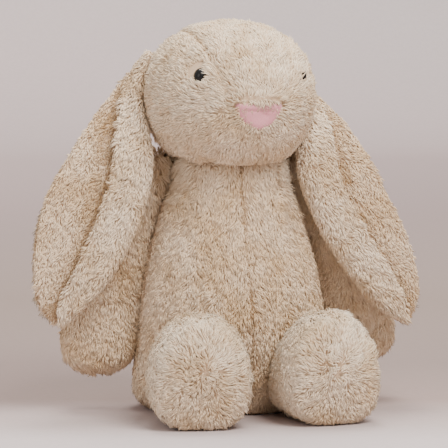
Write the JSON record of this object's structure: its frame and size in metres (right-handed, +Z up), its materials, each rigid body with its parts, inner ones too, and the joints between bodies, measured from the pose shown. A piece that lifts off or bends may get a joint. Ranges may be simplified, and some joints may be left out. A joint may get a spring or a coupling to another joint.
{
  "type": "plush rabbit",
  "caption": "Sitting plush rabbit with long folded lop ears, bead eyes, a velvet nose and limbs that swing.",
  "frame": {"origin": "centre of the flat base that it sits on", "axes": "+Z up, the rabbit faces -Y, and +X is towards its own left"},
  "size_m": [0.3062, 0.2151, 0.3015],
  "materials": {
    "plush": "long soft pile",
    "plush_light": "long soft pile",
    "wadding": "loose polyester fibre",
    "velvet": "short velvet pile",
    "bead": "polished",
    "washer": "moulded",
    "pellets": "loose pellets in a cloth pouch"
  },
  "bodies": {
    "torso": {"torso_front_left": "plush", "torso_front_right": "plush", "torso_back_left": "plush", "torso_back_right": "plush", "base_panel": "plush", "torso_stuffing": "wadding", "pellet_pouch": "pellets", "tail_skin": "plush_light", "tail_stuffing": "wadding"},
    "head": {"head_side_left": "plush", "head_side_right": "plush", "head_gusset": "plush_light", "head_stuffing": "wadding", "eye_left": "bead", "eye_right": "bead", "eye_washer_left": "washer", "eye_washer_right": "washer", "nose": "velvet"},
    "ear_left": {"ear_outer_left": "plush_light", "ear_lining_left": "plush_light"},
    "arm_left": {"arm_front_left": "plush", "arm_back_left": "plush", "arm_stuffing_left": "wadding"},
    "leg_left": {"leg_inner_left": "plush", "leg_outer_left": "plush", "sole_left": "plush_light", "leg_stuffing_left": "wadding", "foot_pellets_left": "pellets"},
    "ear_right": {"ear_outer_right": "plush_light", "ear_lining_right": "plush_light"},
    "arm_right": {"arm_front_right": "plush", "arm_back_right": "plush", "arm_stuffing_right": "wadding"},
    "leg_right": {"leg_inner_right": "plush", "leg_outer_right": "plush", "sole_right": "plush_light", "leg_stuffing_right": "wadding", "foot_pellets_right": "pellets"}
  },
  "joints": [
    {"name": "head_nod", "type": "hinge", "parent": "torso", "child": "head", "pos_m": [0, 0.002, 0.175], "axis": [-1, 0, 0], "range_deg": [0, 15]},
    {"name": "ear_left_lift", "type": "hinge", "parent": "head", "child": "ear_left", "pos_m": [0.06, 0, 0.263], "axis": [0, -1, 0], "range_deg": [0, 100]},
    {"name": "arm_left_raise", "type": "hinge", "parent": "torso", "child": "arm_left", "pos_m": [0.051, 0.018, 0.19], "axis": [0, -1, 0], "range_deg": [0, 50]},
    {"name": "leg_left_swing", "type": "hinge", "parent": "torso", "child": "leg_left", "pos_m": [0.0435, -0.046, 0.0004], "axis": [1, 0, 0], "range_deg": [0, 85]},
    {"name": "ear_right_lift", "type": "hinge", "parent": "head", "child": "ear_right", "pos_m": [-0.057, 0, 0.284], "axis": [0, 1, 0], "range_deg": [0, 100]},
    {"name": "arm_right_raise", "type": "hinge", "parent": "torso", "child": "arm_right", "pos_m": [-0.051, 0.018, 0.19], "axis": [0, 1, 0], "range_deg": [0, 50]},
    {"name": "leg_right_swing", "type": "hinge", "parent": "torso", "child": "leg_right", "pos_m": [-0.0435, -0.046, 0.0004], "axis": [1, 0, 0], "range_deg": [0, 85]}
  ]
}
